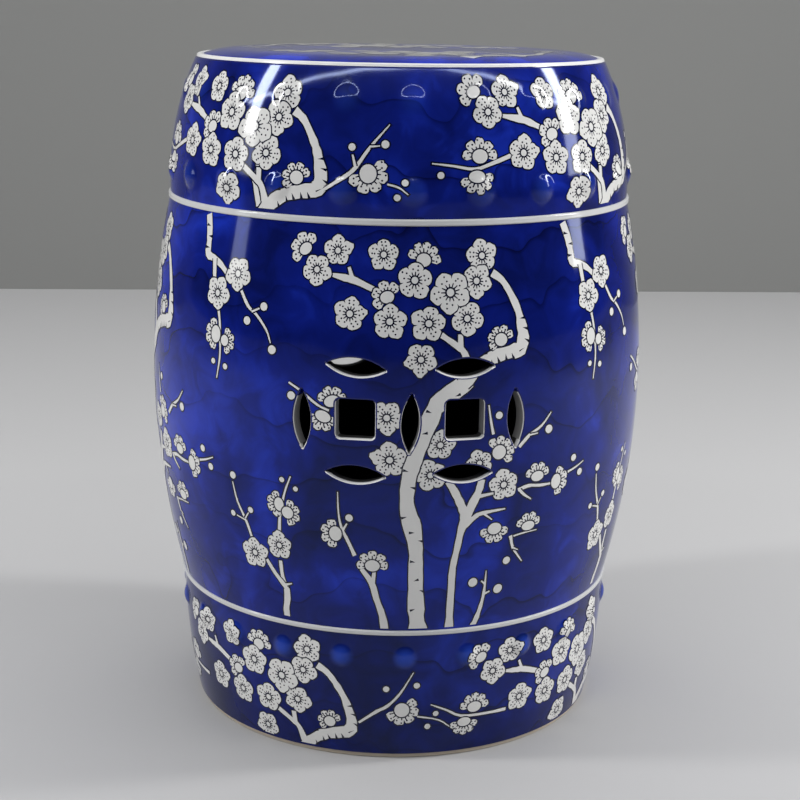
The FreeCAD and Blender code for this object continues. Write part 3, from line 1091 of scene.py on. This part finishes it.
def drum_trunks():
    """The two trunks and the small twigs that rise from the lower rib."""
    motif = Motif(2, DRUM_SCALE)
    motif.twigs(
        [(3.1, 92, 12.8), (2.5, 106, 11.2), (2.1, 120, 10.4), (1.85, 140, 9.2), (1.7, 155, 9.4),
         (0.8, 170, 10.4), (-0.15, 180, 10.2), (-0.5, 190, 9.4), (0, 205, 9.2), (1, 215, 9.6),
         (2.3, 225, 9.4), (4, 240, 10), (5.6, 250, 10.6), (8.5, 257, 10.6), (12.2, 264.5, 10)],
    )
    for notch in (
        (0.9, 110, 20), (4, 124, 160), (0.5, 146, -10), (3.3, 160, 170), (-1.6, 176, 15),
        (1.3, 196, 165), (-1.4, 208, -15), (3.6, 232, 190), (3.2, 246, -20), (10.4, 256, 200),
        (2.6, 133, 200), (0.1, 166, 0),
    ):
        motif.notch(*notch, 3.8)
    motif.branches(
        [(10.7, 92, 6), (10.4, 110, 4.7), (10.3, 125, 4.6), (10.25, 140, 4.2), (11, 155, 3.9),
         (11.5, 165, 4.4), (12.2, 173, 6)],
        [(12.2, 170, 5.5), (12, 178, 5.5), (10.9, 186, 5), (9.5, 194, 4.5), (8.2, 200, 4)],
        [(12.2, 170, 5.5), (13.5, 182, 5.6), (15, 192, 4.8), (15.6, 200, 4)],
        [(14.4, 188.5, 3), (18.5, 190, 1.4)],
        [(11.9, 168, 4), (14.5, 175, 3.2), (16, 177, 2.6), (19, 178, 1.8), (21.6, 178.5, 0.8)],
        [(16.4, 177, 1.8), (18.6, 172, 0.7)],
    )
    motif.branches(
        [(16.2, 92, 5), (17.5, 102, 3.6), (18.3, 114, 2.4), (18.5, 124, 1.8), (18.4, 136, 0.5)],
        [(18.3, 118.5, 2), (19.9, 120.5, 1)], [(18.4, 126.5, 1.8), (17.4, 129, 0.8)],
    )
    each(motif.bud, (15.4, 128.5, 3.2), (22, 121.5, 3.3))
    motif.branches(
        [(-4.9, 92, 5.6), (-5.6, 106, 5), (-7, 119, 4.2), (-8, 130, 3.8), (-10.3, 140, 2.6)],
        [(-7.8, 129, 3), (-7.4, 138, 2.4)],
    )
    motif.branches(
        [(-11.7, 149, 2.6), (-13, 158, 2.2), (-14.5, 168, 1.6), (-15.1, 178, 1.1),
         (-15.2, 192, 0.5)],
        [(-14.3, 166, 1.8), (-13.3, 171, 1)],
    )
    motif.bud(-12.8, 175, 2.4)
    each(motif.side_blossom,
        (-7.8, 142.5, 4.8, 4, 90, 10.5, 5, 220), (-15.9, 163.5, 4.1, 5, 180, 10),
    )
    return motif


def drum_blossoms():
    """Blossoms and buds round the trunks, below the crown."""
    motif = Motif(3, DRUM_SCALE, 0.8)
    motif.twigs(
        [(23.6, 158, 1.6), (27, 159.5, 1.2), (30.5, 160, 0.9)],
        [(23.6, 159, 3), (24.6, 150, 2.2), (27.5, 139, 0.9)], [(24.6, 150, 1.4), (26, 148, 0.8)],
    )
    motif.bud(23.3, 141.5, 3)
    each(motif.side_blossom, (19.4, 165.5, 4.8, 4, 270, 10), (28, 164, 5, 3.2, 90, 9.5, 4, 180))
    motif.twigs(
        [(24.4, 190, 3.2), (27, 192, 2.8), (30, 191, 2.4), (33, 190.8, 1.8)],
        [(24.8, 190, 2.6), (26, 186.5, 2.2), (28, 182.5, 1)],
    )
    motif.blossom(20.8, 195, 10.5, 100)
    each(motif.side_blossom, (29.2, 197.5, 4.8, 3.4, 90, 9.5, 4, 180), (34.6, 191.5, 4, 5, 0, 10))
    motif.twigs([(38, 196, 1.8), (40.5, 198, 1.5), (43, 201, 0.9)])
    each(motif.bud, (39.5, 205, 2.6), (42, 194, 2.6))
    motif.side_blossom(19.3, 217, 4.6, 4.6, 45, 10.5, 5, 200)
    motif.blossom(14.9, 211, 8.5, 110)
    motif.twigs([(17.8, 229, 2.4), (17.2, 237, 1.8), (16.6, 248, 0.9)])
    motif.bud(19, 241, 2.6)
    motif.twigs(
        [(24, 219, 2.8), (26.5, 226, 2.4), (29.5, 231, 1.8), (32, 239, 0.9)],
        [(26.5, 226, 1.6), (28.6, 226.5, 0.9)],
    )
    motif.bud(31.5, 228, 3.1)
    each(motif.blossom,
        (6.3, 224, 9.5, 10), (4.4, 204.5, 10, -110), (-4.2, 214.5, 11, 95, (1,)),
        (-4.9, 241.5, 10.5, -85),
    )
    motif.twigs([(-26, 260, 1.4), (-23, 255, 1.7), (-19.5, 247.5, 1.7), (-17, 244.5, 1.5)])
    each(motif.side_blossom,
        (-18.3, 240.5, 5, 3.5, 265, 9.5, 4, 190, -20), (-16.4, 250.5, 5, 3.5, 90, 9.5, 4, 190, 20),
    )
    motif.bud(-25.4, 251.8, 2.9)
    return motif


def drum_far_group():
    """The small spray left of the trunks."""
    motif = Motif(4, DRUM_SCALE, 0.75)
    motif.twigs(
        [(-29.8, 98, 7), (-29.7, 104, 6.6), (-29, 112, 6), (-28.8, 121, 5.6)],
        [(-28.9, 119, 5), (-29.6, 128, 4), (-29.7, 139, 3)],
        [(-29, 120, 4.6), (-31.5, 129, 4), (-33.4, 138, 3)],
        [(-28.8, 122, 2), (-27.3, 123.5, 1.2)],
        [(-29.3, 159, 3), (-28.9, 170, 2.6), (-28.4, 176, 2.2), (-27.3, 188, 1.7), (-25.8, 199, 1)],
    )
    each(motif.bud, (-27.9, 196, 2), (-24.7, 191, 1.9))
    each(motif.side_blossom, (-28.9, 179, 3.4, 4.5, 180, 9), (-26.9, 174, 4, 4, 0, 9))
    motif.twigs(
        [(-36.9, 151, 2.8), (-38.2, 163, 2.4), (-40.2, 175, 1.8), (-41.2, 188, 1)],
        [(-38.4, 163, 1.5), (-40.8, 165, 1)], [(-38.4, 164, 1.5), (-37.2, 169, 1)],
    )
    each(motif.bud, (-41, 192.5, 2.8), (-41.9, 165.8, 2.3), (-36.6, 171, 2.4))
    each(motif.blossom, (-29.6, 150, 9.5, 90), (-36.6, 141, 10.5, 90))
    voids(motif, False)
    return motif


def drum_hanging():
    """The branch that hangs from the upper rib."""
    motif = Motif(5, DRUM_SCALE, 0.75)
    motif.twigs(
        [(-52.5, 356.5, 7.3), (-51.5, 348, 7), (-51, 340, 7), (-50.8, 332, 7), (-48.5, 330, 6),
         (-46, 327, 5.4), (-43.6, 322, 4.6)],
        [(-48.2, 330, 4.4), (-47.6, 318, 3.8)],
    )
    each(motif.notch, (-52.6, 350, -10), (-50.1, 343, 180), (-51.9, 336, 0))
    motif.twigs(
        [(-45.5, 300, 2.6), (-44.7, 290, 2.4), (-44.3, 278, 2), (-44.3, 268, 1.7),
         (-45.1, 255, 1)],
    )
    each(motif.bud, (-46.3, 265.5, 2.1), (-42.6, 263.5, 2.2))
    each(motif.side_blossom,
        (-45.8, 283, 4.2, 5.5, 180, 10), (-43, 280, 3.2, 3.5, 0, 8.5, 4, 180),
    )
    motif.twigs(
        [(-39, 313, 3), (-36.8, 304, 2.6), (-34.5, 299.5, 2.2), (-31.8, 291, 1.7),
         (-30.6, 283, 1)],
        [(-35.7, 301, 1.8), (-33.5, 304, 1.2)],
    )
    each(motif.bud, (-32.7, 305, 3), (-36.9, 295, 3), (-30.2, 279, 3.2))
    each(motif.blossom, (-46.1, 309, 10.5, -80), (-40.4, 323, 10.5, -88))
    return motif


def drum_decor():
    every = (0, 90, 180, 270)
    layers = [(drum_far_group(), every), (drum_hanging(), every)]
    for pierced, turns in ((True, (0, 180)), (False, (90, 270))):
        crown = crown_spray(1, 24.6 * DRUM_SCALE, 284, 0, 0.94)
        for motif in (drum_blossoms(), drum_trunks(), crown):
            voids(motif, pierced)
            layers.append((motif, turns))
    rows = plain_rows(LOWER_SEAM, UPPER_SEAM)
    lay("drum", layers, rows, on_wall(DRUM, DRUM_SCALE), DECOR_LIFT, ["drum_wall"])


def shoulder_twigs():
    motif = Motif(6, BAND_SCALE, 0.7)
    motif.twigs(
        [(-41, 388, 4), (-38, 382.5, 4.4), (-36.8, 372, 5), (-36.3, 365.5, 5.4)],
        [(-37, 391, 3.4), (-37.2, 383, 3.6)],
        [(-20.2, 378, 2.4), (-15, 387, 3.4), (-12.6, 393, 3.2), (-9.5, 405, 2.2), (-5.3, 418, 1)],
        [(-12.8, 393, 2.2), (-13.5, 400, 1.4)], [(-9.6, 405, 1.8), (-7.4, 405.5, 1)],
    )
    each(motif.bud, (-13.7, 404.5, 2.6), (-6.2, 406.5, 2.8))
    motif.side_blossom(-9.9, 389, 5, 5.6, 300, 12, 5, 230)
    motif.twigs([(-5.6, 383, 1.8), (-3, 381, 1.6), (-1, 377, 0.9)])
    each(motif.bud, (-1.7, 384, 2.4), (-3.4, 375, 2.4))
    motif.twigs([(24.5, 401, 4), (18, 395, 3), (14, 392, 2.8), (9, 394, 2), (4.2, 395.5, 1)])
    each(motif.side_blossom,
        (15.3, 399.5, 4.8, 4.2, 90, 11, 5, 210), (14.5, 387.5, 5, 3.6, 280, 10.5, 5),
    )
    motif.bud(6.2, 388.5, 2.5)
    return motif


def base_twigs():
    motif = Motif(9, BAND_SCALE, 0.65)
    motif.twigs([(-11.5, 27, 2.4), (-7, 36, 3.4), (-4.2, 40.5, 3), (-1, 50, 2.2), (2.2, 65, 1)])
    motif.side_blossom(-0.5, 37.5, 5, 5.2, 305, 11.5, 5, 230)
    each(motif.bud, (-4.5, 53, 2.6), (3.1, 55.5, 2.6))
    motif.twigs([(3.4, 32.5, 1.8), (9, 29, 1.6), (13, 21, 0.9)])
    motif.bud(6.2, 24.5, 2.5)
    motif.twigs([(6.8, 41, 1), (11, 36, 2.2), (15, 30.5, 2.8), (22, 29.5, 3), (28, 29.5, 4)])
    motif.bud(8.2, 34, 2.4)
    each(motif.side_blossom, (18.5, 36, 5, 3.9, 90, 10.5, 5, 200), (16, 25.5, 4.8, 3.4, 270, 10, 5))
    return motif


def band_decor():
    crown = crown_spray(7, -20.6 * BAND_SCALE, 380.6, 0, 0.97, 0.965)
    crown.void_below(UPPER_SEAM + 4.5)
    layers = [(shoulder_twigs(), SHOULDER_TURNS), (crown, SHOULDER_TURNS)]
    rows = studded_rows(SHOULDER, UPPER_SEAM, RIM_LOW)
    place = on_wall(SHOULDER, BAND_SCALE)
    lay("shoulder", layers, rows, place, DECOR_LIFT_ON_STUD, SHOULDER_NODES)
    crown = crown_spray(8, -13.2 * BAND_SCALE, 22.1, 3.4, 0.9)
    crown.void_below(FOOT_TOP + 1.8)
    layers = [(base_twigs(), BASE_TURNS), (crown, BASE_TURNS)]
    rows = studded_rows(BASE, FOOT_TOP, LOWER_SEAM)
    lay("base", layers, rows, on_wall(BASE, BAND_SCALE), DECOR_LIFT_ON_STUD, BASE_NODES)


def seat_spray():
    motif = crown_spray(10, 72, -86, 8)
    motif.twigs(
        [(73, -85, 6), (86, -66, 5), (90, -44, 4), (100, -22, 2.4)],
        [(89, -46, 2.4), (80, -34, 1.4)],
    )
    each(motif.bud, (76.5, -29, 3), (104, -36, 3))
    motif.side_blossom(99, -9, 4.6, 4.2, 100, 10, 5, 210)
    return motif


def seat_decor():
    rows = plain_rows(-SLAB_RADIUS, SLAB_RADIUS)
    lay("seat", [(seat_spray(), (0, 180))], rows, on_seat, DECOR_LIFT, ["seat_slab"])


body()
drum_decor()
band_decor()
seat_decor()
room()
camera()

scene = bpy.context.scene
scene.view_settings.view_transform = "Standard"
